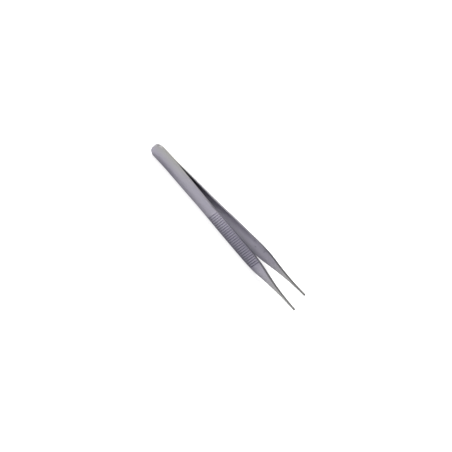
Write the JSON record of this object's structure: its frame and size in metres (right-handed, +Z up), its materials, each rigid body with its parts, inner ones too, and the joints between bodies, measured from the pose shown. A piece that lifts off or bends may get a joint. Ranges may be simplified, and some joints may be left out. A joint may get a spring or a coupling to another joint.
{
  "type": "thumb forceps",
  "caption": "Sprung steel thumb forceps with a round welded head, grooved finger grips and slender tapered points.",
  "frame": {"origin": "on the surface that the forceps lie on, below the middle of their length and midway between the arms", "axes": "+X runs from the round head to the points, +Y across the opening towards the left arm, +Z up, across the width of the blades"},
  "size_m": [0.13, 0.0164, 0.01],
  "materials": {
    "satin_steel": "satin ground stainless steel"
  },
  "bodies": {
    "root": {"left_arm": "satin_steel", "right_arm": "satin_steel"}
  },
  "joints": []
}
